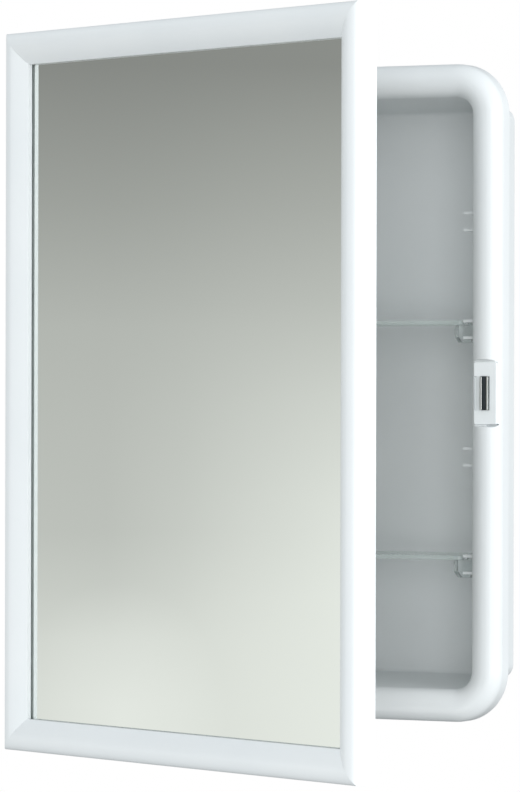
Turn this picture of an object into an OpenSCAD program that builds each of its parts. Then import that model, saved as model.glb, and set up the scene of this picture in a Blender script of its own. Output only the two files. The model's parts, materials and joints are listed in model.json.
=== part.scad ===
// Medicine cabinet with a mirrored door, for a bathroom wall.
// X runs right, Y runs into the wall and Z runs up.
// The origin is the centre of the back panel's rear face.
// The door is drawn ajar, at open_deg from shut.

/* [Door] */
// Width of the door
door_w = 406.4; // [380:0.1:430]
// Height of the door
door_h = 508; // [480:0.1:560]
// Thickness of the door, from its back to the frame's crown
door_t = 18.5; // [18:0.5:22]
// Angle at which the door stands ajar
open_deg = 25; // [5:1:80]
// Width of a frame member
member_w = 22.5; // [22:0.5:26]
// Width of the lip that covers the mirror's edge
lip_w = 4; // [3:0.5:5]
// Thickness of the mirror glass
mirror_t = 3; // [3:0.5:4]

/* [Cabinet] */
// Width over the rim
rim_w = 346; // [340:1:356]
// Height over the rim
rim_h = 448; // [440:1:470]
// Width of the rounded rim
rim_band = 22.5; // [21:0.5:24]
// Outer corner radius of the rim
rim_r = 35; // [30:1:40]
// Depth of the cabinet, from the wall to the rim's crown
body_d = 86; // [80:1:100]
// Height of the rim's rounded front
rim_rise = 9; // [8:0.5:10]
// Wall thickness of the moulded shell
wall_t = 2.5; // [2:0.5:3]
// How far each side wall leans in towards the back
side_draft = 8; // [5:0.5:8]
// How far the top and the floor lean in towards the back
end_draft = 6; // [4:0.5:8]

/* [Shelves] */
// Height of the upper shelf's ribs above the middle
upper_shelf_z = 43.5; // [30:0.5:60]
// Height of the lower shelf's ribs above the middle
lower_shelf_z = -117; // [-130:0.5:-100]
// Thickness of a shelf
shelf_t = 3; // [2.5:0.5:3]
// Half of the distance between the tips of facing ribs
rib_tip_x = 139; // [137:0.5:139]

/* [Hinges] */
// Height of each hinge above or below the middle
hinge_z = 150; // [120:1:170]
// Height of a hinge
hinge_h = 36; // [30:1:40]
// Radius of a hinge pin
pin_r = 1.25; // [1:0.05:1.3]
// Thickness of a hinge leaf
leaf_t = 1.2; // [1:0.1:1.2]

/* [Hidden] */
$fn = 48;
eps = 0.01;

// Front and back planes, counted from the wall
crown_y = -body_d;
arris_y = crown_y + rim_rise;
skirt_y = arris_y + rim_rise;
door_gap = 1.2;
door_back_y = crown_y - door_gap;

// Rim and tub
rim_rx = rim_band / 2;
inner_w = rim_w - 2 * rim_band;
inner_h = rim_h - 2 * rim_band;
inner_r = rim_r - rim_band;
tub_d = -arris_y;
back_r = inner_r - 5;
arc_steps = 16;

// Catch in the right-hand rim
catch_x = rim_w / 2 - rim_rx + 0.5;
catch_w = 17;
catch_h = 42.4;
catch_d = 12;
flat_y = crown_y + 2.5;
flat_h = 44;
magnet_t = 3.5;
pole_t = 1.4;
pole_h = 22.9;
pole_proud = 2.2;
stack_w = magnet_t + 2 * pole_t;
stack_d = 9;

// Hinges, in the left-hand rim
pivot_x = -door_w / 2 + 14.7;
pivot_y = door_back_y + 2.7;
knuckle_r = 2.4;
pin_gap = 0.05;
door_knuckle_h = 12;
knuckle_gap = 0.3;
pad_y = crown_y + 3.5;
pad_x0 = -rim_w / 2 - 4;
pad_x1 = -rim_w / 2 + 17.5;
leaf_x1 = pad_x1 - 1;
door_leaf_w = 13;
screw_dz = 11;
screw_r = 1.4;
screw_len = 10;
head_r = 3;
cabinet_screw_x = -rim_w / 2 + 9;
door_screw_x = pivot_x - 8;
boss_y = skirt_y - 0.5;

// Door section, counted from the door's back
rebate_w = member_w - lip_w;
mirror_front_h = door_t - 9.5;
lip_edge_h = mirror_front_h + 3.1;
side_h = door_t - 3.5;
crown_u = 8.5;
slope_power = 1.5;
mirror_w = door_w - 2 * rebate_w - 1;
mirror_h = door_h - 2 * rebate_w - 1;
board_t = mirror_front_h - mirror_t;
strike_t = 1.2;
strike_w = 14;
strike_h = 40;
strike_dz = 15;
strike_screw_len = 6;
bumper_r = 4;
bumper_t = 0.9;
bumper_z = 190;
nail_leg = 9;
nail_t = 0.8;
nail_d = 10;
staple_w = 12;
staple_t = 0.7;
staple_leg = 5;

// Shelf ribs and clips
rib_t = 2;
rib_half = 5.75;
rib_front = [-70, -54];
rib_rear = [-26, -10];
rib_zs = [-lower_shelf_z, upper_shelf_z, -upper_shelf_z, lower_shelf_z];
clip_w = 10;
clip_nose_x = rib_tip_x - 7.5;
clip_drop = 9;
front_clip_y = -68;
rear_clip_y = -24;
shelf_rest = 3;
shelf_gap = 0.05;
shelf_half_w = rib_tip_x - 0.5;
shelf_y0 = -72;
shelf_y1 = -8;

// Holes for fixing the cabinet
fix_r = 2.75;
back_fix_x = 241.3 / 2;
back_fix_z = 304.8 / 2;
side_fix_y = -38;
side_fix_z = 80;

// Inside half width of the tub at depth y
function wall_x(y) = inner_w / 2 - side_draft * (y - arris_y) / tub_d;

// Points of half an ellipse, from its right end over the top to its left end
function half_ellipse(rx, ry, n) = [for (i = [0:n]) [rx * cos(180 * i / n), ry * sin(180 * i / n)]];

// Points of a quarter of an ellipse about (cx, cy), from angle a0 to a1
function arc_points(cx, cy, rx, ry, a0, a1, n) =
    [for (i = [0:n]) let (a = a0 + (a1 - a0) * i / n) [cx + rx * cos(a), cy + ry * sin(a)]];

// Stands a drawing of X and Z up and extrudes it along Y, from y0 to y1
module along_y(y0, y1) {
    translate([0, y1, 0])
        rotate([90, 0, 0])
            linear_extrude(y1 - y0)
                children();
}

module rounded_rect(w, h, r) {
    square([w - 2 * r, h], center = true);
    square([w, h - 2 * r], center = true);
    for (sx = [-1, 1], sz = [-1, 1])
        translate([sx * (w / 2 - r), sz * (h / 2 - r)])
            circle(r);
}

// ---------- Cabinet shell ----------

// Carries a rim section round the rounded rectangle of the rim.
// The section's X is the distance from the corner arc's centre and its Y points to the front.
module rim_sweep() {
    cx = rim_w / 2 - rim_r;
    cz = rim_h / 2 - rim_r;
    translate([0, arris_y, 0])
        rotate([90, 0, 0]) {
            for (q = [0:3])
                translate([(q == 0 || q == 3) ? cx : -cx, q < 2 ? cz : -cz, 0])
                    rotate([0, 0, 90 * q])
                        rotate_extrude(angle = 90, $fn = 96)
                            children();
            for (s = [0, 180]) {
                rotate([0, 0, s])
                    translate([cx, cz, 0])
                        rotate([90, 0, 0])
                            linear_extrude(2 * cz)
                                children();
                rotate([0, 0, s + 90])
                    translate([cz, cx, 0])
                        rotate([90, 0, 0])
                            linear_extrude(2 * cx)
                                children();
            }
        }
}

module rim_section() {
    translate([rim_r - rim_rx, 0])
        difference() {
            union() {
                polygon(half_ellipse(rim_rx, rim_rise, arc_steps));
                translate([rim_rx - wall_t, -rim_rise])
                    square([wall_t, rim_rise + eps]);
            }
            polygon(concat(half_ellipse(rim_rx - wall_t, rim_rise - wall_t, arc_steps),
                [[wall_t - rim_rx, -1], [rim_rx - wall_t, -1]]));
        }
}

// A block that fills the rim's hollow behind a flat, between heights z0 and z1
module rim_boss(side, z0, z1) {
    translate([side * (rim_w / 2 - rim_rx), 0, z0])
        linear_extrude(z1 - z0) {
            translate([0, arris_y])
                mirror([0, 1])
                    polygon(half_ellipse(rim_rx - 0.6, rim_rise - 0.6, arc_steps));
            translate([-rim_rx + 1, arris_y - eps])
                square([2 * rim_rx - 2, boss_y - arris_y]);
        }
}

module tub_outside() {
    hull() {
        along_y(arris_y - 0.2, arris_y)
            rounded_rect(inner_w + 2 * wall_t, inner_h + 2 * wall_t, inner_r + wall_t, $fn = 32);
        along_y(-0.2, 0)
            rounded_rect(inner_w + 2 * (wall_t - side_draft), inner_h + 2 * (wall_t - end_draft),
                back_r + wall_t, $fn = 32);
    }
}

module tub_inside() {
    hull() {
        along_y(arris_y - 1.2, arris_y - 1)
            rounded_rect(inner_w, inner_h, inner_r, $fn = 32);
        along_y(-wall_t - 0.2, -wall_t)
            rounded_rect(inner_w - 2 * side_draft, inner_h - 2 * end_draft, back_r, $fn = 32);
    }
}

// The part of one rib between depths span[0] and span[1], on the side given by sx
module rib(sx, z, span) {
    translate([0, 0, z - rib_t / 2])
        linear_extrude(rib_t)
            polygon([[sx * rib_tip_x, span[0]],
                [sx * (wall_x(span[0]) + 1), span[0]],
                [sx * (wall_x(span[1]) + 1), span[1]],
                [sx * rib_tip_x, span[1]]]);
}

module cabinet_shell() {
    color("white")
        difference() {
            union() {
                difference() {
                    union() {
                        rim_sweep()
                            rim_section();
                        tub_outside();
                    }
                    tub_inside();
                }
                for (z = [-hinge_z, hinge_z])
                    rim_boss(-1, z - hinge_h / 2 - 3, z + hinge_h / 2 + 3);
                rim_boss(1, -flat_h / 2 - 3, flat_h / 2 + 3);
                for (sx = [-1, 1], z = rib_zs, s = [-1, 1], span = [rib_front, rib_rear])
                    rib(sx, z + s * rib_half, span);
            }
            // flat hinge pads, with pilot holes
            for (z = [-hinge_z, hinge_z]) {
                translate([pad_x0, crown_y - 1, z - hinge_h / 2 - 0.5])
                    cube([pad_x1 - pad_x0, pad_y - crown_y + 1, hinge_h + 1]);
                for (s = [-1, 1])
                    translate([cabinet_screw_x, pad_y - 1, z + s * screw_dz])
                        rotate([-90, 0, 0])
                            cylinder(h = screw_len + 1.5, r = screw_r);
            }
            // flat and pocket for the catch
            translate([rim_w / 2 - rim_band - 1, crown_y - 1, -flat_h / 2])
                cube([rim_band + 2, flat_y - crown_y + 1, flat_h]);
            translate([catch_x - catch_w / 2 - 0.1, flat_y - 1, -catch_h / 2 - 0.1])
                cube([catch_w + 0.2, catch_d + 5, catch_h + 0.2]);
            // screw holes in the back and the sides
            for (sx = [-1, 1], sz = [-1, 1]) {
                translate([sx * back_fix_x, -wall_t - 1, sz * back_fix_z])
                    rotate([-90, 0, 0])
                        cylinder(h = wall_t + 2, r = fix_r);
                translate([sx * (wall_x(side_fix_y) - 2), side_fix_y, sz * side_fix_z])
                    rotate([0, sx * 90, 0])
                        cylinder(h = wall_t + 6, r = fix_r);
            }
        }
}

// ---------- Magnetic catch ----------

module catch_housing() {
    color("whitesmoke")
        difference() {
            translate([catch_x - catch_w / 2, flat_y - 0.2, -catch_h / 2])
                cube([catch_w, catch_d, catch_h]);
            translate([catch_x - stack_w / 2, flat_y - 1, -pole_h / 2])
                cube([stack_w, stack_d + 1, pole_h]);
        }
}

module catch_slab(x0, t, proud) {
    translate([x0, flat_y - proud, -pole_h / 2])
        cube([t, stack_d + proud, pole_h]);
}

module catch_magnet() {
    color("dimgray")
        catch_slab(catch_x - magnet_t / 2, magnet_t, pole_proud - 0.8);
}

module catch_pole_left() {
    color("silver")
        catch_slab(catch_x - magnet_t / 2 - pole_t, pole_t, pole_proud);
}

module catch_pole_right() {
    color("silver")
        catch_slab(catch_x + magnet_t / 2, pole_t, pole_proud);
}

// ---------- Hinges, drawn with the door shut ----------

// A wood screw with a countersunk head; its head is at the origin and it points along +Y
module wood_screw(len) {
    rotate([-90, 0, 0]) {
        cylinder(h = leaf_t - 0.1, r1 = head_r - 0.05, r2 = screw_r + 0.15);
        cylinder(h = len, r = screw_r);
    }
}

// The countersunk hole for it in a leaf
module screw_hole() {
    rotate([-90, 0, 0])
        translate([0, 0, -eps])
            cylinder(h = leaf_t + 2 * eps, r1 = head_r + 0.05, r2 = screw_r + 0.3);
}

// A knuckle before it is bored, centred at height z
module knuckle(z, h) {
    translate([pivot_x, pivot_y, z - h / 2])
        cylinder(h = h, r = knuckle_r);
}

module hinge_cabinet_leaf(z) {
    notch = door_knuckle_h / 2 + knuckle_gap;
    color("gainsboro")
        difference() {
            union() {
                translate([pivot_x, pad_y - leaf_t, z - hinge_h / 2])
                    cube([leaf_x1 - pivot_x, leaf_t, hinge_h]);
                for (s = [-1, 1])
                    knuckle(z + s * (notch + hinge_h / 2) / 2, hinge_h / 2 - notch);
            }
            translate([pivot_x - 5, pad_y - 5, z - notch])
                cube([5 + knuckle_r + knuckle_gap, 10, 2 * notch]);
            translate([pivot_x, pivot_y, z - hinge_h])
                cylinder(h = 2 * hinge_h, r = pin_r);
            for (s = [-1, 1])
                translate([cabinet_screw_x, pad_y - leaf_t, z + s * screw_dz])
                    screw_hole();
        }
}

module hinge_door_leaf(z) {
    color("gainsboro")
        on_door()
            difference() {
                union() {
                    translate([pivot_x - door_leaf_w, door_back_y, z - hinge_h / 2])
                        cube([door_leaf_w - knuckle_r - knuckle_gap, leaf_t, hinge_h]);
                    translate([pivot_x - door_leaf_w / 2, door_back_y, z - door_knuckle_h / 2])
                        cube([door_leaf_w / 2, leaf_t, door_knuckle_h]);
                    knuckle(z, door_knuckle_h);
                }
                translate([pivot_x, pivot_y, z - hinge_h])
                    cylinder(h = 2 * hinge_h, r = pin_r + pin_gap);
                for (s = [-1, 1])
                    translate([door_screw_x, door_back_y + leaf_t, z + s * screw_dz])
                        rotate([180, 0, 0])
                            screw_hole();
            }
}

module hinge_pin(z) {
    color("silver")
        translate([pivot_x, pivot_y, z - hinge_h / 2]) {
            cylinder(h = hinge_h + 0.5, r = pin_r);
            translate([0, 0, hinge_h])
                cylinder(h = 1, r = pin_r + 0.6);
        }
}

module hinge_cabinet_screws(z) {
    color("silver")
        for (s = [-1, 1])
            translate([cabinet_screw_x, pad_y - leaf_t, z + s * screw_dz])
                wood_screw(screw_len);
}

module hinge_door_screws(z) {
    color("silver")
        on_door()
            for (s = [-1, 1])
                translate([door_screw_x, door_back_y + leaf_t, z + s * screw_dz])
                    rotate([180, 0, 0])
                        wood_screw(screw_len);
}

// ---------- Shelves and their clips ----------

// A clip sits between the two ribs of a pair, hooks under the lower rib and holds up the shelf
module shelf_clip(sx, y0, z) {
    grip_z = rib_half - rib_t / 2;
    grip_x = min(wall_x(y0 + clip_w) - 0.5, rib_tip_x + 7.5);
    lip_x = min(wall_x(y0 + clip_w) - 0.5, rib_tip_x + 5);
    color("aliceblue")
        translate([0, y0 + clip_w, z])
            rotate([90, 0, 0])
                linear_extrude(clip_w)
                    scale([sx, 1])
                        polygon([[clip_nose_x, shelf_rest],
                            [rib_tip_x - 0.2, shelf_rest],
                            [rib_tip_x - 0.2, grip_z],
                            [grip_x, grip_z],
                            [grip_x, -grip_z],
                            [rib_tip_x - 0.2, -grip_z],
                            [rib_tip_x - 0.2, -grip_z - rib_t],
                            [lip_x, -grip_z - rib_t],
                            [lip_x, -clip_drop],
                            [clip_nose_x + 3, -clip_drop],
                            [clip_nose_x, -clip_drop + 4]]);
}

module shelf(z) {
    color("azure")
        translate([0, 0, z + shelf_rest + shelf_gap])
            linear_extrude(shelf_t)
                translate([-shelf_half_w, shelf_y0])
                    square([2 * shelf_half_w, shelf_y1 - shelf_y0]);
}

// ---------- Door ----------

// Turns the door and what is on it from shut to ajar
module on_door() {
    translate([pivot_x, pivot_y, 0])
        rotate([0, 0, -open_deg])
            translate([-pivot_x, -pivot_y, 0])
                children();
}

// Section of a frame member: X counts in from the outer edge, Y counts forward from the back
module member_section() {
    polygon(concat([[0, 0]],
        arc_points(crown_u, side_h, crown_u, door_t - side_h, 180, 90, 8),
        [for (i = [1:8]) let (t = i / 8)
            [crown_u + (member_w - crown_u) * t,
            lip_edge_h + (door_t - lip_edge_h) * (1 - pow(t, slope_power))]],
        [[member_w, mirror_front_h],
        [rebate_w, mirror_front_h],
        [rebate_w, 0]]));
}

// A mitred member along the bottom edge of a w by h frame, drawn in X, Y and Z
module mitred_member(w, h) {
    intersection() {
        translate([-w / 2, door_back_y, -h / 2])
            rotate([180, 0, 0])
                rotate([0, 90, 0])
                    linear_extrude(w)
                        member_section();
        along_y(door_back_y - door_t - 1, door_back_y + 1)
            polygon([[-w / 2, -h / 2], [w / 2, -h / 2],
                [w / 2 - member_w - 1, -h / 2 + member_w + 1], [-w / 2 + member_w + 1, -h / 2 + member_w + 1]]);
    }
}

// V-shaped nails that join the mitres, let in flush with the back, with one leg in each member
module mitre_nail_set() {
    inset = rebate_w / 2;
    for (sx = [-1, 1], sz = [-1, 1])
        along_y(door_back_y - nail_d, door_back_y)
            translate([sx * (door_w / 2 - inset), sz * (door_h / 2 - inset)])
                scale([-sx, -sz])
                    for (leg = [[nail_leg, nail_t], [nail_t, nail_leg]])
                        square(leg);
}

// Wire staples across the joint between the frame and the backer board
module staple() {
    translate([-staple_w / 2, 0, -staple_t / 2])
        cube([staple_w, staple_t, staple_t]);
    for (s = [-1, 1])
        translate([s * (staple_w - staple_t) / 2 - staple_t / 2, -staple_leg, -staple_t / 2])
            cube([staple_t, staple_leg + eps, staple_t]);
}

module staple_set() {
    for (sx = [-1, 1], z = [-170, -60, 60, 170])
        translate([sx * (door_w / 2 - rebate_w), door_back_y, z])
            staple();
    for (sz = [-1, 1], x = [-110, 0, 110])
        translate([x, door_back_y, sz * (door_h / 2 - rebate_w)])
            rotate([0, 90, 0])
                staple();
}

module door_pilots() {
    for (z = [-hinge_z, hinge_z], s = [-1, 1])
        translate([door_screw_x, door_back_y + leaf_t, z + s * screw_dz])
            rotate([90, 0, 0])
                cylinder(h = screw_len + 0.5, r = screw_r);
}

module frame_member(w, h, turn) {
    color("white")
        on_door()
            difference() {
                rotate([0, turn, 0])
                    mitred_member(w, h);
                mitre_nail_set();
                staple_set();
                door_pilots();
            }
}

module mirror_glass() {
    color("lightsteelblue")
        on_door()
            translate([-mirror_w / 2, door_back_y - mirror_front_h, -mirror_h / 2])
                cube([mirror_w, mirror_t, mirror_h]);
}

module backer_board() {
    color("burlywood")
        on_door()
            difference() {
                translate([-mirror_w / 2, door_back_y - board_t, -mirror_h / 2])
                    cube([mirror_w, board_t, mirror_h]);
                staple_set();
                for (s = [-1, 1])
                    translate([catch_x, door_back_y + strike_t, s * strike_dz])
                        rotate([90, 0, 0])
                            cylinder(h = strike_screw_len + 0.5, r = screw_r);
            }
}

module mitre_nails() {
    color("silver")
        on_door()
            mitre_nail_set();
}

module back_staples() {
    color("silver")
        on_door()
            staple_set();
}

module strike_plate() {
    color("silver")
        on_door()
            difference() {
                translate([catch_x - strike_w / 2, door_back_y, -strike_h / 2])
                    cube([strike_w, strike_t, strike_h]);
                for (s = [-1, 1])
                    translate([catch_x, door_back_y + strike_t, s * strike_dz])
                        rotate([180, 0, 0])
                            screw_hole();
            }
}

module strike_screws() {
    color("silver")
        on_door()
            for (s = [-1, 1])
                translate([catch_x, door_back_y + strike_t, s * strike_dz])
                    rotate([180, 0, 0])
                        wood_screw(strike_screw_len);
}

module door_bumper(z) {
    color("ivory")
        on_door()
            translate([catch_x, door_back_y, z])
                rotate([-90, 0, 0])
                    cylinder(h = bumper_t, r1 = bumper_r, r2 = bumper_r - 0.5);
}

cabinet_shell();
catch_housing();
catch_magnet();
catch_pole_left();
catch_pole_right();
hinge_cabinet_leaf(hinge_z);  // upper_hinge_cabinet_leaf
hinge_cabinet_leaf(-hinge_z);  // lower_hinge_cabinet_leaf
hinge_pin(hinge_z);  // upper_hinge_pin
hinge_pin(-hinge_z);  // lower_hinge_pin
hinge_cabinet_screws(hinge_z);  // upper_hinge_cabinet_screws
hinge_cabinet_screws(-hinge_z);  // lower_hinge_cabinet_screws
shelf_clip(-1, front_clip_y, upper_shelf_z);  // upper_clip_front_left
shelf_clip(1, front_clip_y, upper_shelf_z);  // upper_clip_front_right
shelf_clip(-1, rear_clip_y, upper_shelf_z);  // upper_clip_rear_left
shelf_clip(1, rear_clip_y, upper_shelf_z);  // upper_clip_rear_right
shelf_clip(-1, front_clip_y, lower_shelf_z);  // lower_clip_front_left
shelf_clip(1, front_clip_y, lower_shelf_z);  // lower_clip_front_right
shelf_clip(-1, rear_clip_y, lower_shelf_z);  // lower_clip_rear_left
shelf_clip(1, rear_clip_y, lower_shelf_z);  // lower_clip_rear_right
shelf(upper_shelf_z);  // upper_shelf
shelf(lower_shelf_z);  // lower_shelf
frame_member(door_w, door_h, 180);  // door_frame_top
frame_member(door_w, door_h, 0);  // door_frame_bottom
frame_member(door_h, door_w, 90);  // door_frame_hinge_side
frame_member(door_h, door_w, -90);  // door_frame_latch_side
mirror_glass();
backer_board();
mitre_nails();
back_staples();
strike_plate();
strike_screws();
hinge_door_leaf(hinge_z);  // upper_hinge_door_leaf
hinge_door_leaf(-hinge_z);  // lower_hinge_door_leaf
hinge_door_screws(hinge_z);  // upper_hinge_door_screws
hinge_door_screws(-hinge_z);  // lower_hinge_door_screws
door_bumper(bumper_z);  // upper_door_bumper
door_bumper(-bumper_z);  // lower_door_bumper
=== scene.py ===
import json
import math

import bmesh
import bpy
from mathutils import Matrix, Vector


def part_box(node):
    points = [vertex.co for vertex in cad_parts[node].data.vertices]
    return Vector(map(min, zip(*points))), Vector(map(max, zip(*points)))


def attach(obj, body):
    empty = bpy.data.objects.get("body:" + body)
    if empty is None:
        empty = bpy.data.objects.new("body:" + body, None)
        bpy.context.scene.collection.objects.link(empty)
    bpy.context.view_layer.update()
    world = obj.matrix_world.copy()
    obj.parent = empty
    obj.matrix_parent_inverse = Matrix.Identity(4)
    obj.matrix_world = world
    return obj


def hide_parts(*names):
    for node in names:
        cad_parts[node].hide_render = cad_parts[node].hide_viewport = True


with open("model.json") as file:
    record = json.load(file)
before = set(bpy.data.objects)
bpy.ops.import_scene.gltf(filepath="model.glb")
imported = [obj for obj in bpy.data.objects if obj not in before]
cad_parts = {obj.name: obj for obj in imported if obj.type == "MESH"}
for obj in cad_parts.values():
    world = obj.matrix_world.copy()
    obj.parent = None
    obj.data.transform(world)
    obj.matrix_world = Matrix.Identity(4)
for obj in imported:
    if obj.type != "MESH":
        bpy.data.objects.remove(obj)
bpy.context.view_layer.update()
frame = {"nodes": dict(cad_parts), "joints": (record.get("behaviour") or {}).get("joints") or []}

mm = 0.001

# ---------- Sizes, in metres ----------

shell_low, shell_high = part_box("cabinet_shell")
RIM_W = shell_high.x - shell_low.x
RIM_H = shell_high.z - shell_low.z
CROWN_Y = shell_low.y
RIM_BAND = 22.5 * mm
RIM_RISE = 9 * mm
RIM_R = 35 * mm
WALL = 2.5 * mm
SIDE_DRAFT = 8 * mm
END_DRAFT = 6 * mm
ARRIS_Y = CROWN_Y + RIM_RISE
SKIRT_Y = ARRIS_Y + RIM_RISE
INNER_W = RIM_W - 2 * RIM_BAND
INNER_H = RIM_H - 2 * RIM_BAND
INNER_R = RIM_R - RIM_BAND
BACK_R = INNER_R - 5 * mm

DOOR_W = 406.4 * mm
DOOR_H = 508 * mm
DOOR_T = 18.5 * mm
DOOR_BACK_Y = CROWN_Y - 1.2 * mm
MEMBER_W = 22.5 * mm
REBATE_W = 18.5 * mm
MIRROR_FRONT = 9 * mm
MIRROR_T = 3 * mm
LIP_EDGE = 12.1 * mm
SIDE_H = 15 * mm
CROWN_U = 8.5 * mm
MIRROR_W = DOOR_W - 2 * REBATE_W - 1 * mm
MIRROR_H = DOOR_H - 2 * REBATE_W - 1 * mm
BOARD_T = MIRROR_FRONT - MIRROR_T

hinge = next(j for j in frame["joints"] if j["name"] == "door_hinge")
PIVOT = Vector(hinge["pos_m"])
AJAR = math.radians(-hinge["range_deg"][0])
TO_AJAR = Matrix.Translation(PIVOT) @ Matrix.Rotation(-AJAR, 4, "Z") @ Matrix.Translation(-PIVOT)
HINGE_ZS = [sum(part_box(n), Vector()).z / 2 for n in ("upper_hinge_cabinet_leaf", "lower_hinge_cabinet_leaf")]
HINGE_H = 36 * mm
PAD_Y = CROWN_Y + 3.5 * mm

catch_low, catch_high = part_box("catch_housing")
CATCH_X = (catch_low.x + catch_high.x) / 2
FLAT_Y = catch_low.y + 0.2 * mm
FLAT_H = 44 * mm
SCREW_DZ = 11 * mm

LEAF_T = 1.2 * mm
STRIKE_SCREW_DZ = 15 * mm
HOLE_R = 2.75 * mm
BACK_HOLE_X = 120.65 * mm
BACK_HOLE_Z = 152.4 * mm
SIDE_HOLE_Y = -38 * mm
SIDE_HOLE_Z = 80 * mm
PLAY = 0.05 * mm
FASTENER_PLAY = 0.06 * mm


# ---------- Materials ----------

class Nodes:
    """The node tree of a material or the world, with short ways to add and link nodes."""

    def __init__(self, owner):
        owner.use_nodes = True
        self.owner = owner
        self.tree = owner.node_tree

    def add(self, kind, **settings):
        """A new node. Names with a capital set its inputs, the others its options."""
        node = self.tree.nodes.new("ShaderNode" + kind)
        for key, value in settings.items():
            if key[0].isupper():
                node.inputs[key.replace("_", " ")].default_value = value
            else:
                setattr(node, key, value)
        return node

    def link(self, out, to):
        self.tree.links.new(out, to)

    def noise(self, scale, detail=3.0, stretch=(1, 1, 1), rough=0.5):
        """Noise in the object's own metres; a smaller stretch draws it out along that axis."""
        place = self.add("TexCoord")
        mapping = self.add("Mapping", Scale=stretch)
        texture = self.add("TexNoise", Scale=scale, Detail=detail, Roughness=rough)
        self.link(place.outputs["Object"], mapping.inputs["Vector"])
        self.link(mapping.outputs["Vector"], texture.inputs["Vector"])
        return texture.outputs["Fac"]

    def ramp(self, source, *stops):
        """A colour ramp through stops of (position, grey or colour)."""
        node = self.add("ValToRGB")
        points = node.color_ramp.elements
        while len(points) < len(stops):
            points.new(0.5)
        for point, (position, value) in zip(points, stops):
            point.position = position
            point.color = (value, value, value, 1) if isinstance(value, float) else (*value, 1)
        self.link(source, node.inputs["Fac"])
        return node.outputs["Color"]

    def distance(self, source, point):
        """How far the coordinates of source are from a point."""
        node = self.add("VectorMath", operation="DISTANCE")
        node.inputs[1].default_value = point
        self.link(source, node.inputs[0])
        return node.outputs["Value"]

    def mix(self, a, b, factor, blend="MIX"):
        """Two colours mixed. factor is a number or what to link."""
        node = self.add("Mix", data_type="RGBA", blend_type=blend)
        if isinstance(factor, (int, float)):
            node.inputs["Factor"].default_value = factor
        else:
            self.link(factor, node.inputs["Factor"])
        self.link(a, node.inputs[6])
        self.link(b, node.inputs[7])
        return node.outputs[2]

    def bump(self, source, distance, strength=1.0, after=None):
        node = self.add("Bump", Distance=distance, Strength=strength)
        self.link(source, node.inputs["Height"])
        if after:
            self.link(after, node.inputs["Normal"])
        return node.outputs["Normal"]


class Surface(Nodes):
    """A new material and its shader."""

    def __init__(self, name):
        super().__init__(bpy.data.materials.new(name))
        self.shader = self.tree.nodes["Principled BSDF"]

    def set(self, **values):
        for key, value in values.items():
            self.shader.inputs[key.replace("_", " ")].default_value = value

    def colour(self, source):
        self.link(source, self.shader.inputs["Base Color"])

    def roughness(self, source):
        self.link(source, self.shader.inputs["Roughness"])

    def relief(self, source):
        self.link(source, self.shader.inputs["Normal"])


def plastic(name, low, high, rough, grain=900.0, depth=0.02 * mm, **values):
    """Moulded plastic: a faint orange peel, slow changes of tone and a little unevenness in its shine."""
    m = Surface(name)
    m.colour(m.ramp(m.noise(9.0, 4.0), (0.35, low), (0.65, high)))
    m.roughness(m.ramp(m.noise(35.0, 4.0), (0.3, rough - 0.05), (0.7, rough + 0.07)))
    waves = m.bump(m.noise(28.0, 2.0), 0.12 * mm)
    m.relief(m.bump(m.noise(grain, 2.0), depth, after=waves))
    m.set(**values)
    return m.owner


def metal(name, low, high, rough):
    """Plated metal with a fine uneven face."""
    m = Surface(name)
    m.set(Metallic=1.0)
    m.colour(m.ramp(m.noise(90.0, 5.0), (0.3, low), (0.7, high)))
    m.roughness(m.ramp(m.noise(260.0, 4.0), (0.25, rough - 0.08), (0.75, rough + 0.12)))
    m.relief(m.bump(m.noise(700.0, 3.0), 0.01 * mm))
    return m.owner


def steel_painted_dark_sides():
    """Steel bright on the faces that meet across the catch, with painted shade: its sides are painted dull dark
    to stand for the dark reflections they show.
    """
    m = Surface("bright_steel")
    m.set(Metallic=1.0)
    axes = m.add("SeparateXYZ")
    m.link(m.add("TexCoord").outputs["Normal"], axes.inputs[0])
    # painted shade: the colour follows how far each face turns from Y, so the sides come out dark
    painted_side_shade = m.add("Math", operation="MULTIPLY")
    for side in painted_side_shade.inputs[:2]:
        m.link(axes.outputs["Y"], side)
    m.colour(m.ramp(painted_side_shade.outputs[0], (0.2, (0.10, 0.12, 0.12)), (0.65, (0.82, 0.83, 0.81))))
    m.roughness(m.ramp(m.noise(260.0, 4.0), (0.25, 0.30), (0.75, 0.42)))
    return m.owner


def lacquer():
    """White lacquer over wood: a satin film with the grain showing through as faint long ripples."""
    m = Surface("white_lacquer")
    m.colour(m.ramp(m.noise(11.0, 4.0), (0.3, (0.83, 0.86, 0.875)), (0.7, (0.865, 0.89, 0.90))))
    m.roughness(m.ramp(m.noise(70.0, 4.0), (0.3, 0.30), (0.7, 0.42)))
    grain = m.bump(m.noise(240.0, 3.0, (0.05, 1, 1)), 0.02 * mm)
    m.relief(m.bump(m.noise(1100.0, 2.0), 0.012 * mm, after=grain))
    m.set(Coat_Weight=0.25, Coat_Roughness=0.12)
    return m.owner


def silvered_glass():
    """Mirror: silver seen through pale green glass, with a trace of haze."""
    m = Surface("mirror")
    m.set(Metallic=1.0)
    m.colour(m.ramp(m.noise(6.0, 2.0), (0.3, (0.855, 0.885, 0.862)), (0.7, (0.865, 0.893, 0.87))))
    m.roughness(m.ramp(m.noise(40.0, 5.0), (0.3, 0.012), (0.8, 0.03)))
    return m.owner


def hardboard():
    """Painted pressed board: off-white, with the short fibres showing through a thin dull coat."""
    m = Surface("hardboard")
    fibres = m.noise(420.0, 6.0, (0.25, 1, 1), 0.65)
    m.colour(m.ramp(fibres, (0.25, (0.60, 0.59, 0.555)), (0.5, (0.645, 0.635, 0.60)),
                    (0.75, (0.69, 0.685, 0.65))))
    m.roughness(m.ramp(m.noise(120.0), (0.3, 0.62), (0.7, 0.85)))
    m.relief(m.bump(fibres, 0.15 * mm))
    return m.owner


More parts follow.
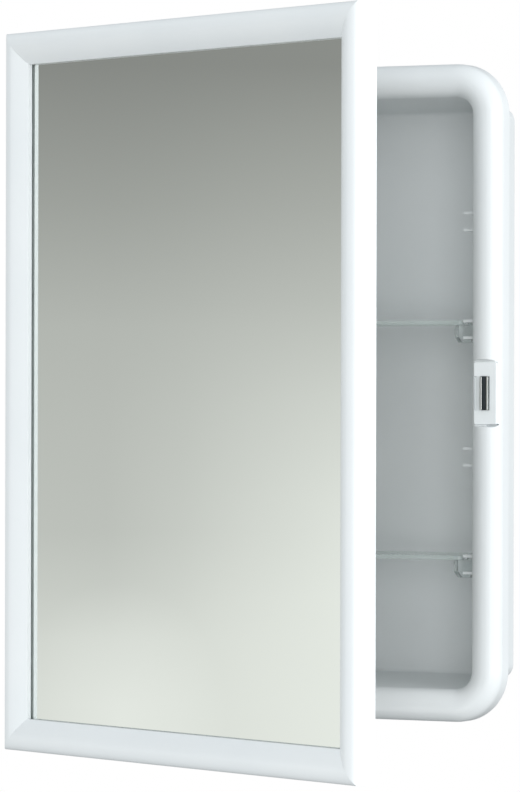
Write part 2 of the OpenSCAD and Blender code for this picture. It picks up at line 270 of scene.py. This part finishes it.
MATERIALS = {
    "shell_plastic": plastic("shell_plastic", (0.77, 0.80, 0.815), (0.80, 0.83, 0.842), 0.36,
                             Coat_Weight=0.15, Coat_Roughness=0.2),
    "catch_plastic": plastic("catch_plastic", (0.87, 0.91, 0.93), (0.90, 0.935, 0.95), 0.40, 1500.0),
    "ferrite": plastic("ferrite", (0.012, 0.016, 0.02), (0.03, 0.036, 0.042), 0.42, 2600.0, 0.05 * mm),
    "bright_steel": steel_painted_dark_sides(),
    "zinc_steel": metal("zinc_steel", (0.55, 0.56, 0.57), (0.72, 0.72, 0.70), 0.30),
    "wire_steel": metal("wire_steel", (0.42, 0.41, 0.40), (0.60, 0.59, 0.57), 0.35),
    "clear_plastic": plastic("clear_plastic", (0.80, 0.86, 0.86), (0.86, 0.90, 0.90), 0.08, 900.0, 0.01 * mm,
                             Transmission_Weight=0.9, IOR=1.49),
    "shelf_plastic": plastic("shelf_plastic", (0.62, 0.72, 0.70), (0.68, 0.77, 0.75), 0.14, 700.0, 0.01 * mm,
                             Alpha=0.42, IOR=1.49, Coat_Weight=0.5),
    "white_lacquer": lacquer(),
    "mirror": silvered_glass(),
    "hardboard": hardboard(),
    "bumper_rubber": plastic("bumper_rubber", (0.60, 0.58, 0.50), (0.68, 0.66, 0.58), 0.6, 1800.0, 0.04 * mm),
}


# ---------- Mesh work ----------

def rounded_loop(half_w, half_h, r, steps=16):
    """Points of a rounded rectangle about the middle, counter-clockwise from the right."""
    points = []
    for q, (sx, sz) in enumerate([(1, 1), (-1, 1), (-1, -1), (1, -1)]):
        for i in range(steps + 1):
            a = math.radians(90 * (q + i / steps))
            points.append((sx * (half_w - r) + r * math.cos(a), sz * (half_h - r) + r * math.sin(a)))
    return points


def loft(rings):
    """A closed mesh through rings of equally many points, with a cap on the first and the last."""
    bm = bmesh.new()
    rows = [[bm.verts.new(p) for p in ring] for ring in rings]
    count = len(rows[0])
    for a, b in zip(rows, rows[1:]):
        for i in range(count):
            j = (i + 1) % count
            bm.faces.new((a[i], a[j], b[j], b[i]))
    bm.faces.new(rows[0])
    bm.faces.new(reversed(rows[-1]))
    bmesh.ops.recalc_face_normals(bm, faces=bm.faces)
    return bm


def quarter(radius, steps=4):
    """(across, along) steps of a quarter round, from the flat to the side."""
    turns = [math.radians(90 * i / steps) for i in range(steps + 1)]
    return [(radius * math.sin(a), radius * (1 - math.cos(a))) for a in turns]


def slab(centre, size, corner, edge, thin="Y", steps=8):
    """A plate with rounded corners and softened edges. thin is the axis of its thickness."""
    order = {"Y": ("X", "Z", "Y"), "Z": ("X", "Y", "Z"), "X": ("Y", "Z", "X")}[thin]
    half = [size["XYZ".index(axis)] / 2 for axis in order]
    rings = []
    for side in (-1, 1):
        levels = [(edge - across, along) for across, along in quarter(edge)]
        for inset, along in levels if side < 0 else reversed(levels):
            level = side * (half[2] - along)
            ring = []
            for a, b in rounded_loop(half[0] - inset, half[1] - inset, max(corner - inset, 0.05 * mm), steps):
                place = dict(zip(order, (a, b, level)))
                ring.append(Vector((place["X"], place["Y"], place["Z"])) + Vector(centre))
            rings.append(ring)
    return loft(rings)


def box(low, high):
    bm = bmesh.new()
    bmesh.ops.create_cube(bm, size=1)
    low, high = Vector(low), Vector(high)
    for v in bm.verts:
        v.co = Vector([(low[i] + high[i]) / 2 + v.co[i] * (high[i] - low[i]) for i in range(3)])
    return bm


def prism(outline, axis, start, end):
    """A straight prism. outline holds the two other coordinates, in the order X, Y, Z."""
    def place(p, level):
        p = list(p)
        p.insert("XYZ".index(axis), level)
        return p
    return loft([[place(p, start) for p in outline], [place(p, end) for p in outline]])


def rod(base, direction, radius, end_radius=None, sides=48):
    """A round rod or cone from base along direction, whose length is the rod's."""
    turn = Vector((0, 0, 1)).rotation_difference(direction).to_matrix()
    radii = (radius, radius if end_radius is None else end_radius)
    ends = [[Vector(base) + turn @ Vector((r * math.cos(2 * math.pi * i / sides),
                                           r * math.sin(2 * math.pi * i / sides), level * direction.length))
             for i in range(sides)] for level, r in enumerate(radii)]
    return loft(ends)


def turned(profile, base, direction, sides=48):
    """A lathe-turned piece. profile holds (radius, height) from its foot up."""
    turn = Vector((0, 0, 1)).rotation_difference(direction).to_matrix()
    return loft([[Vector(base) + turn @ Vector((r * math.cos(2 * math.pi * i / sides),
                                                r * math.sin(2 * math.pi * i / sides), h))
                  for i in range(sides)] for r, h in profile])


def to_object(bm, name):
    mesh = bpy.data.meshes.new(name)
    bm.to_mesh(mesh)
    bm.free()
    obj = bpy.data.objects.new(name, mesh)
    bpy.context.scene.collection.objects.link(obj)
    return obj


def apply_modifiers(obj):
    evaluated = obj.evaluated_get(bpy.context.evaluated_depsgraph_get())
    mesh = bpy.data.meshes.new_from_object(evaluated)
    obj.modifiers.clear()
    old, obj.data = obj.data, mesh
    bpy.data.meshes.remove(old)


def carve(obj, bodies, operation="DIFFERENCE"):
    """Cuts closed bodies out of obj, or joins them to it."""
    tools = []
    for bm in bodies:
        tool = to_object(bm, "tool")
        tools.append(tool)
        step = obj.modifiers.new("carve", "BOOLEAN")
        step.operation, step.solver, step.object = operation, "EXACT", tool
    apply_modifiers(obj)
    for tool in tools:
        bpy.data.objects.remove(tool)


def refine(obj, bevel, segments=2, angle=35):
    """Melts coplanar faces together, softens the edges that are sharper than angle and sets smooth shading."""
    bm = bmesh.new()
    bm.from_mesh(obj.data)
    bmesh.ops.remove_doubles(bm, verts=bm.verts, dist=0.002 * mm)
    bmesh.ops.dissolve_limit(bm, angle_limit=math.radians(1), verts=bm.verts, edges=bm.edges)
    bm.to_mesh(obj.data)
    bm.free()
    if bevel:
        edge = obj.modifiers.new("edge", "BEVEL")
        edge.width, edge.segments = bevel, segments
        edge.limit_method, edge.angle_limit = "ANGLE", math.radians(angle)
        edge.use_clamp_overlap = False
        edge.miter_outer = "MITER_ARC"
        apply_modifiers(obj)
    for face in obj.data.polygons:
        face.use_smooth = True
    obj.data.set_sharp_from_angle(angle=math.radians(32))
    even = obj.modifiers.new("even", "WEIGHTED_NORMAL")
    even.keep_sharp = True
    apply_modifiers(obj)


def piece(obj, body, slot, *nodes):
    """Gives a finished piece its material and its place in the frame."""
    obj.data.materials.clear()
    obj.data.materials.append(MATERIALS[slot])
    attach(obj, body)
    if nodes:
        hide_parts(*nodes)
    return obj


def from_node(node, name):
    """A copy of a CAD node, to be refined."""
    obj = bpy.data.objects.new(name, frame["nodes"][node].data.copy())
    bpy.context.scene.collection.objects.link(obj)
    return obj


def swing(obj):
    """Turns a piece that was built for the shut door to where the door stands ajar."""
    obj.data.transform(TO_AJAR)
    return obj


# ---------- Cabinet shell ----------

def ring_at(half_w, half_h, r, y):
    return [Vector((x, y, z)) for x, z in rounded_loop(half_w, half_h, r)]


def inset_ring(u, y):
    """A ring that lies u in from the rim's outer edge."""
    return ring_at(RIM_W / 2 - u, RIM_H / 2 - u, RIM_R - u, y)


def half_round(rx, rise, steps, outwards):
    """Rings over the rim's rounded section, rx to each side of its middle."""
    rings = []
    for i in range(steps + 1):
        a = math.pi * i / steps
        u = RIM_BAND / 2 + (rx if outwards else -rx) * math.cos(a)
        rings.append(inset_ring(u, ARRIS_Y - rise * math.sin(a)))
    return rings


def wall_x(y):
    """Half the width inside the tub at depth y."""
    return INNER_W / 2 - SIDE_DRAFT * (y - ARRIS_Y) / -ARRIS_Y


def shell_body():
    """The back, the tub and the hollow rim as one skin, from the rear face round to the inner face."""
    outer = (INNER_W / 2 + WALL - SIDE_DRAFT, INNER_H / 2 + WALL - END_DRAFT, BACK_R + WALL)
    rings = [ring_at(*(v - 1.5 * mm + across for v in outer), -along) for across, along in quarter(1.5 * mm)]
    rings += half_round(RIM_BAND / 2 - WALL, RIM_RISE - WALL, 24, True)
    soft = quarter(0.6 * mm)
    rings += [inset_ring(WALL - along, SKIRT_Y - 0.6 * mm + across) for across, along in soft]
    rings += [inset_ring(0.6 * mm - across, SKIRT_Y - along) for across, along in soft]
    rings += half_round(RIM_BAND / 2, RIM_RISE, 44, False)
    fillet = 3 * mm
    depth = (-WALL - fillet - ARRIS_Y) / (-WALL - ARRIS_Y)
    inner = (INNER_W / 2 - SIDE_DRAFT * depth, INNER_H / 2 - END_DRAFT * depth,
             INNER_R + (BACK_R - INNER_R) * depth)
    rings += [ring_at(*(v - along for v in inner), -WALL - fillet + across)
              for across, along in quarter(fillet, 6)]
    return loft(rings)


def rim_boss(side, low, high):
    """A block that fills the rim's hollow behind a flat."""
    rx, rise = RIM_BAND / 2 - 0.6 * mm, RIM_RISE - 0.6 * mm
    centre = side * (RIM_W / 2 - RIM_BAND / 2)
    outline = [(centre + rx * math.cos(math.pi * i / 24), ARRIS_Y - rise * math.sin(math.pi * i / 24))
               for i in range(25)]
    outline += [(centre - rx + 0.4 * mm, SKIRT_Y - 0.5 * mm), (centre + rx - 0.4 * mm, SKIRT_Y - 0.5 * mm)]
    return prism(outline, "Z", low, high)


RIB_TIP_X = 139 * mm
RIB_HALF = 5.75 * mm
SHELF_ZS = {name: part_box(f"{name}_shelf")[0].z - 3.05 * mm for name in ("upper", "lower")}


def ribs():
    """Pairs of ribs that take the shelf clips, in four rows down each side."""
    made = []
    for sx in (-1, 1):
        for z in [s * v for v in SHELF_ZS.values() for s in (-1, 1)]:
            for s in (-1, 1):
                for y0, y1 in ((-70 * mm, -54 * mm), (-26 * mm, -10 * mm)):
                    foot = 1 * mm
                    outline = [(sx * RIB_TIP_X, y0), (sx * (wall_x(y0) + foot), y0),
                               (sx * (wall_x(y1) + foot), y1), (sx * RIB_TIP_X, y1)]
                    middle = z + s * RIB_HALF
                    made.append(prism(outline, "Z", middle - 1 * mm, middle + 1 * mm))
    return made


def shell_cuts():
    cuts = []
    for z in HINGE_ZS:
        cuts.append(box((-RIM_W / 2 - 4 * mm, CROWN_Y - 1 * mm, z - HINGE_H / 2 - 0.5 * mm),
                        (-RIM_W / 2 + 17.5 * mm, PAD_Y, z + HINGE_H / 2 + 0.5 * mm)))
    # the catch's flat runs out quickly into the rim above and below
    rise = FLAT_Y - CROWN_Y + 0.3 * mm
    run = 1.2 * mm
    ease = [(FLAT_Y - rise * (1 - math.cos(math.pi * i / 10)) / 2, FLAT_H / 2 + run * i / 10) for i in range(11)]
    outline = [(y, -z) for y, z in reversed(ease)] + ease
    cuts.append(prism(outline, "X", RIM_W / 2 - RIM_BAND - 1 * mm, RIM_W / 2 + 1 * mm))
    # a half-moon gap under the catch, where a blade lifts it out
    moon_x, moon_r, sag = CATCH_X + 4.7 * mm, 4.8 * mm, 2.1 * mm
    moon = [(moon_x - moon_r * math.cos(math.pi * i / 12),
             catch_low.z + 0.3 * mm - sag * math.sin(math.pi * i / 12)) for i in range(13)]
    cuts.append(prism(moon, "Y", CROWN_Y - 1 * mm, FLAT_Y + 3 * mm))
    cuts.append(box((catch_low.x - PLAY, FLAT_Y - 1 * mm, catch_low.z - PLAY),
                    (catch_high.x + PLAY, catch_high.y + 5 * mm, catch_high.z + PLAY)))
    for sx in (-1, 1):
        for sz in (-1, 1):
            cuts.append(rod((sx * BACK_HOLE_X, -WALL - 1 * mm, sz * BACK_HOLE_Z),
                            Vector((0, WALL + 2 * mm, 0)), HOLE_R))
            cuts.append(rod((sx * (wall_x(SIDE_HOLE_Y) - 2 * mm), SIDE_HOLE_Y, sz * SIDE_HOLE_Z),
                            Vector((sx * (WALL + 6 * mm), 0, 0)), HOLE_R))
    return cuts


shell = to_object(shell_body(), "shell_moulding")
carve(shell, [rim_boss(-1, z - HINGE_H / 2 - 3 * mm, z + HINGE_H / 2 + 3 * mm) for z in HINGE_ZS]
      + [rim_boss(1, -FLAT_H / 2 - 6 * mm, FLAT_H / 2 + 9 * mm)] + ribs(), "UNION")
carve(shell, shell_cuts())
refine(shell, 0.3 * mm, 2, 40)
piece(shell, "cabinet", "shell_plastic", "cabinet_shell")

# ---------- Magnetic catch ----------

housing = to_object(slab((catch_low + catch_high) / 2, catch_high - catch_low, 1.2 * mm, 0.5 * mm), "catch_block")
poles_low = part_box("catch_pole_left")[0]
poles_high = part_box("catch_pole_right")[1]
carve(housing, [
    box((poles_low.x - PLAY, catch_low.y - 1 * mm, poles_low.z - PLAY),
        (poles_high.x + PLAY, poles_high.y, poles_high.z + PLAY)),
    box((catch_low.x - 1 * mm, catch_low.y - 1 * mm, -11.5 * mm),
        (catch_low.x + 2.2 * mm, catch_low.y + 1.4 * mm, 11.5 * mm)),
])
refine(housing, 0.25 * mm)
piece(housing, "cabinet", "catch_plastic", "catch_housing")


def catch_slab(node, name, slot, edge):
    low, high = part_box(node)
    obj = to_object(slab((low + high) / 2, high - low, 0.5 * mm, edge, "X"), name)
    refine(obj, 0)
    return piece(obj, "cabinet", slot, node)


catch_slab("catch_magnet", "magnet_bar", "ferrite", 0.3 * mm)
catch_slab("catch_pole_left", "pole_plate_left", "bright_steel", 0.25 * mm)
catch_slab("catch_pole_right", "pole_plate_right", "bright_steel", 0.25 * mm)

# ---------- Shelves and clips ----------

for name in ("upper", "lower"):
    low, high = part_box(f"{name}_shelf")
    board = to_object(slab((low + high) / 2, high - low, 2.5 * mm, 0.6 * mm, "Z"), f"{name}_shelf_plate")
    refine(board, 0)
    piece(board, f"{name}_shelf_body", "shelf_plastic", f"{name}_shelf")
    for where in ("front_left", "front_right", "rear_left", "rear_right"):
        node = f"{name}_clip_{where}"
        clip = from_node(node, f"{name}_shelf_clip_{where}")
        refine(clip, 0.3 * mm, 3)
        piece(clip, "cabinet", "clear_plastic", node)

# ---------- Door ----------


def member_profile():
    """Points (in from the outer edge, forward of the back) round a frame member's section."""
    points = [(0.7 * mm, 0), (0.2 * mm, 0.2 * mm), (0, 0.7 * mm)]
    for i in range(21):
        a = math.radians(180 - 90 * i / 20)
        points.append((CROWN_U + CROWN_U * math.cos(a), SIDE_H + (DOOR_T - SIDE_H) * math.sin(a)))
    for i in range(1, 29):
        t = i / 29
        points.append((CROWN_U + (MEMBER_W - CROWN_U) * t, LIP_EDGE + (DOOR_T - LIP_EDGE) * (1 - t ** 1.5)))
    nose = 0.45 * mm
    for i in range(1, 6):
        a = math.radians(60 - 60 * i / 5)
        points.append((MEMBER_W - nose + nose * math.cos(a), LIP_EDGE - nose * 0.6 + nose * math.sin(a)))
    return points + [(MEMBER_W, MIRROR_FRONT), (REBATE_W, MIRROR_FRONT), (REBATE_W, 0)]


def nail_boxes(grow):
    """The V nails of the mitres, for the shut door, as (low, high) corners."""
    found = []
    for sx in (-1, 1):
        for sz in (-1, 1):
            corner = Vector((sx * (DOOR_W / 2 - REBATE_W / 2), 0, sz * (DOOR_H / 2 - REBATE_W / 2)))
            for leg in ((9 * mm, 0.8 * mm), (0.8 * mm, 9 * mm)):
                end = corner - Vector((sx * leg[0], 0, sz * leg[1]))
                low = [min(corner[i], end[i]) - grow for i in (0, 2)]
                high = [max(corner[i], end[i]) + grow for i in (0, 2)]
                found.append(((low[0], DOOR_BACK_Y - 10 * mm, low[1]), (high[0], DOOR_BACK_Y + grow, high[1])))
    return found


def staples(grow):
    """(low, high) corners of each staple's crown and two legs, for the shut door."""
    places = [(sx * (DOOR_W / 2 - REBATE_W), z * mm, True) for sx in (-1, 1) for z in (-170, -60, 60, 170)]
    places += [(x * mm, sz * (DOOR_H / 2 - REBATE_W), False) for sz in (-1, 1) for x in (-110, 0, 110)]
    w, t, leg = 12 * mm, 0.7 * mm, 5 * mm
    found = []
    for x, z, across in places:
        parts = [((-w / 2, t / 2), (w / 2, t / 2), t)]
        parts += [((s * (w - t) / 2 - t / 2, t / 2), (s * (w - t) / 2 + t / 2, t / 2), leg) for s in (-1, 1)]
        for (a0, _), (a1, _), deep in parts:
            ends = [(a0 - grow, -t / 2 - grow), (a1 + grow, t / 2 + grow)]
            if not across:
                ends = [(b, a) for a, b in ends]
            found.append(((x + ends[0][0], DOOR_BACK_Y - deep - grow, z + ends[0][1]),
                          (x + ends[1][0], DOOR_BACK_Y + grow, z + ends[1][1])))
    return found


def overlaps(low, high, bounds):
    return all(low[i] < bounds[1][i] and high[i] > bounds[0][i] for i in range(3))


def object_box(obj):
    corners = [v.co for v in obj.data.vertices]
    return [[pick(c[i] for c in corners) for i in range(3)] for pick in (min, max)]


def fastener_slots(obj, boxes):
    """Cuts the slots of the fasteners that reach into obj."""
    bounds = object_box(obj)
    carve(obj, [box(low, high) for low, high in boxes if overlaps(low, high, bounds)])


def frame_member(name, length, across, turn):
    """One mitred member, built along the bottom edge of the shut door and turned to its side."""
    gap = 0.01 * mm
    ends = [[(s * (length / 2 - u - gap), DOOR_BACK_Y - h, u - across / 2) for u, h in member_profile()]
            for s in (-1, 1)]
    obj = to_object(loft(ends), name)
    obj.data.transform(Matrix.Rotation(math.radians(turn), 4, "Y"))
    fastener_slots(obj, nail_boxes(FASTENER_PLAY) + staples(FASTENER_PLAY))
    refine(obj, 0.08 * mm, 2, 50)
    return obj


for name, length, across, turn in (("top", DOOR_W, DOOR_H, 180), ("bottom", DOOR_W, DOOR_H, 0),
                                   ("hinge_side", DOOR_H, DOOR_W, 90), ("latch_side", DOOR_H, DOOR_W, -90)):
    member = frame_member(f"frame_member_{name}", length, across, turn)
    piece(swing(member), "door", "white_lacquer", f"door_frame_{name}")

# the silvering shows a little behind the lip, as it does through the glass
SILVER_DEPTH = 1.2 * mm
glass_t = MIRROR_T - SILVER_DEPTH
glass = to_object(slab((0, DOOR_BACK_Y - BOARD_T - glass_t / 2, 0), (MIRROR_W, glass_t, MIRROR_H),
                       0.4 * mm, 0.3 * mm), "mirror_plate")
refine(glass, 0)
piece(swing(glass), "door", "mirror", "mirror_glass")

board = to_object(slab((0, DOOR_BACK_Y - BOARD_T / 2, 0), (MIRROR_W, BOARD_T - 0.02 * mm, MIRROR_H),
                       0.8 * mm, 0.4 * mm), "backer_panel")
fastener_slots(board, staples(FASTENER_PLAY))
refine(board, 0)
piece(swing(board), "door", "hardboard", "backer_board")

for node, name in (("mitre_nails", "mitre_nail_set"), ("back_staples", "staple_set")):
    wire = from_node(node, name)
    refine(wire, 0.12 * mm)
    piece(wire, "door", "wire_steel", node)

# ---------- Strike plate, hinges and screws ----------


def cross_recess(head, out, size):
    """The cross recess of a screw whose head's face is at head and looks along out."""
    made = []
    side = out.cross(Vector((0, 0, 1))).normalized()
    up = Vector((0, 0, 1))
    for along, over in ((side, up), (up, side)):
        rings = []
        for level, shrink in ((0.2 * mm, 1.0), (-0.8 * mm, 0.45)):
            rings.append([head + out * level + along * a * size * shrink + over * b * 0.24 * mm
                          for a, b in ((-1, -1), (1, -1), (1, 1), (-1, 1))])
        made.append(loft(rings))
    return made


def screws(node, name, heads, out, body):
    obj = from_node(node, name)
    refine(obj, 0)
    carve(obj, [cut for head in heads for cut in cross_recess(head, out, 1.5 * mm)])
    refine(obj, 0.08 * mm, 2, 50)
    return piece(obj, body, "bright_steel" if node == "strike_screws" else "zinc_steel", node)


out_of_back = (TO_AJAR.to_3x3() @ Vector((0, 1, 0))).normalized()
for which, z in zip(("upper", "lower"), HINGE_ZS):
    for part, body in (("cabinet_leaf", "cabinet"), ("door_leaf", "door"), ("pin", "cabinet")):
        node = f"{which}_hinge_{part}"
        obj = from_node(node, f"{which}_butt_{part}")
        refine(obj, 0.15 * mm)
        piece(obj, body, "zinc_steel", node)
    heads = [Vector((-RIM_W / 2 + 9 * mm, PAD_Y - LEAF_T, z + s * SCREW_DZ)) for s in (-1, 1)]
    screws(f"{which}_hinge_cabinet_screws", f"{which}_cabinet_screw_pair", heads, Vector((0, -1, 0)), "cabinet")
    heads = [TO_AJAR @ Vector((PIVOT.x - 8 * mm, DOOR_BACK_Y + LEAF_T, z + s * SCREW_DZ)) for s in (-1, 1)]
    screws(f"{which}_hinge_door_screws", f"{which}_door_screw_pair", heads, out_of_back, "door")

strike = to_object(slab((CATCH_X, DOOR_BACK_Y + LEAF_T / 2, 0), (14 * mm, LEAF_T, 40 * mm), 2 * mm, 0.2 * mm),
                   "strike")
carve(strike, [rod((CATCH_X, DOOR_BACK_Y + LEAF_T + 0.01 * mm, s * STRIKE_SCREW_DZ),
                   Vector((0, -LEAF_T - 0.02 * mm, 0)), 3.05 * mm, 1.7 * mm) for s in (-1, 1)])
refine(strike, 0)
piece(swing(strike), "door", "bright_steel", "strike_plate")
heads = [TO_AJAR @ Vector((CATCH_X, DOOR_BACK_Y + LEAF_T, s * STRIKE_SCREW_DZ)) for s in (-1, 1)]
screws("strike_screws", "strike_screw_pair", heads, out_of_back, "door")

for which in ("upper", "lower"):
    z = sum(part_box(f"{which}_door_bumper"), Vector()).z / 2
    r, t = 4 * mm, 0.9 * mm
    side = 0.25 * mm
    dome = [(r, 0), (r, side)]
    for a in (math.radians(v) for v in range(10, 90, 10)):
        dome.append(((r - 0.1 * mm) * math.cos(a), side + (t - side) * math.sin(a)))
    dome.append((0.2 * mm, t))
    bumper = to_object(turned(dome, (CATCH_X, DOOR_BACK_Y, z), Vector((0, 1, 0))), f"{which}_bumper_dot")
    refine(bumper, 0)
    piece(swing(bumper), "door", "bumper_rubber", f"{which}_door_bumper")

# ---------- Light, mirror surroundings and camera ----------

scene = bpy.context.scene
scene.view_settings.view_transform = "Standard"

studio = Nodes(bpy.data.worlds.new("studio"))
scene.world = studio.owner
surround = studio.tree.nodes["Background"]
surround.inputs["Strength"].default_value = 1.1


def towards(x, y, z):
    """How far a direction points this way, from 0 for straight away from it to 1."""
    dot = studio.add("VectorMath", operation="DOT_PRODUCT")
    dot.inputs[1].default_value = Vector((x, y, z)).normalized()
    studio.link(studio.add("TexCoord").outputs["Generated"], dot.inputs[0])
    spread = studio.add("MapRange", From_Min=-1)
    studio.link(dot.outputs["Value"], spread.inputs["Value"])
    return spread.outputs["Result"]


# dim underfoot and bright at eye level and above; brightest to the right of the front
heights = studio.ramp(towards(0, 0, 1), (0.0, (0.14, 0.15, 0.15)), (0.25, (0.34, 0.36, 0.36)),
                      (0.42, (0.90, 0.93, 0.95)), (0.5, (1.0, 1.03, 1.04)), (0.75, (0.74, 0.78, 0.80)),
                      (1.0, (0.50, 0.53, 0.55)))
sides = studio.ramp(towards(0.3, -0.95, 0), (0.0, 0.6), (0.5, 0.85), (1.0, 1.0))
studio.link(studio.mix(heights, sides, 1, "MULTIPLY"), surround.inputs["Color"])

# the backdrop is plain white
white = studio.add("Background", Color=(1, 1, 1, 1))
choose = studio.add("MixShader")
studio.link(studio.add("LightPath").outputs["Is Camera Ray"], choose.inputs["Fac"])
studio.link(surround.outputs["Background"], choose.inputs[1])
studio.link(white.outputs["Background"], choose.inputs[2])
studio.link(choose.outputs["Shader"], studio.tree.nodes["World Output"].inputs["Surface"])


def softbox(name, place, target, size, power):
    data = bpy.data.lights.new(name, "AREA")
    data.shape, data.size, data.size_y = "RECTANGLE", *size
    data.energy = power
    lamp = bpy.data.objects.new(name, data)
    lamp.location = place
    lamp.rotation_mode = "QUATERNION"
    lamp.rotation_quaternion = (Vector(target) - Vector(place)).to_track_quat("-Z", "Y")
    scene.collection.objects.link(lamp)


softbox("key", (2.1, -3.6, 0.1), (0, -0.1, 0), (1.8, 2.2), 38)
softbox("side", (2.6, -0.9, 0.3), (0.1, -0.1, 0), (1.2, 1.4), 31)
softbox("low", (-0.9, -2.8, -1.9), (-0.1, -0.1, 0.2), (1.5, 1.5), 12)


def reflected_room():
    """What the mirror shows: a room that is dim above and bright below, with a soft patch of light low down."""
    m = Nodes(bpy.data.materials.new("reflected_room"))
    m.tree.nodes.remove(m.tree.nodes["Principled BSDF"])
    place = m.add("TexCoord").outputs["UV"]
    axes = m.add("SeparateXYZ")
    m.link(place, axes.inputs["Vector"])
    tint = Vector((0.965, 0.98, 0.936))

    def up_the_wall(*stops):
        return m.ramp(axes.outputs["Y"], *[(height, tint * grey) for height, grey in stops])

    right = up_the_wall((0.12, 0.93), (0.25, 0.92), (0.37, 0.85), (0.49, 0.74), (0.61, 0.59), (0.73, 0.47),
                        (0.82, 0.39), (0.9, 0.31))
    left = up_the_wall((0.12, 0.80), (0.2, 0.76), (0.26, 0.68), (0.33, 0.61), (0.45, 0.58), (0.58, 0.54),
                       (0.73, 0.41), (0.9, 0.29))
    across = m.ramp(axes.outputs["X"], (0.26, 0.0), (0.4, 0.4), (0.5, 0.72), (0.62, 1.0))
    patch = m.ramp(m.distance(place, (0.6, 0.1, 0)), (0.0, 0.11), (0.09, 0.06), (0.17, 0.0))
    glow = m.add("Emission", Strength=1.0)
    m.link(m.mix(m.mix(right, left, across), patch, 1, "ADD"), glow.inputs["Color"])
    # a soft round edge, so that no straight line shows in the mirror from other sides
    edge = m.add("MixShader")
    m.link(m.ramp(m.distance(place, (0.5, 0.5, 0)), (0.72, 0.0), (1.0, 1.0)), edge.inputs["Fac"])
    m.link(glow.outputs["Emission"], edge.inputs[1])
    m.link(m.add("BsdfTransparent").outputs["BSDF"], edge.inputs[2])
    m.link(edge.outputs["Shader"], m.tree.nodes["Material Output"].inputs["Surface"])
    return m.owner


mirror_centre = TO_AJAR @ Vector((0, DOOR_BACK_Y - MIRROR_FRONT, 0))
CAMERA = Vector((1.6457, -3.1776, 0.0053))
normal = TO_AJAR.to_3x3() @ Vector((0, -1, 0))
view = (mirror_centre - CAMERA).normalized()
away = view - 2 * view.dot(normal) * normal
bm = bmesh.new()
bmesh.ops.create_grid(bm, x_segments=1, y_segments=1, size=0.5, calc_uvs=False)
uv = bm.loops.layers.uv.new()
for face in bm.faces:
    for corner in face.loops:
        corner[uv].uv = (2 * corner.vert.co.x + 0.5, 2 * corner.vert.co.y + 0.5)
card = to_object(bm, "room_card")
card.scale = (1.24, 1.60, 1)
card.rotation_mode = "QUATERNION"
card.rotation_quaternion = (-away).to_track_quat("Z", "Y")
card.location = mirror_centre + away * 1.5
card.data.materials.append(reflected_room())
card.visible_camera = card.visible_diffuse = card.visible_shadow = False
card.visible_transmission = card.visible_volume_scatter = False

camera = bpy.data.objects.new("camera", bpy.data.cameras.new("camera"))
camera.data.lens = 5057.0 / 792 * 36
camera.data.clip_end = 50
camera.location = CAMERA
aim = [Matrix.Rotation(math.radians(a), 3, axis) for a, axis in ((28.164, "Z"), (90 - 0.126, "X"), (0.132, "Z"))]
camera.rotation_euler = (aim[0] @ aim[1] @ aim[2]).to_euler()
scene.collection.objects.link(camera)
scene.camera = camera
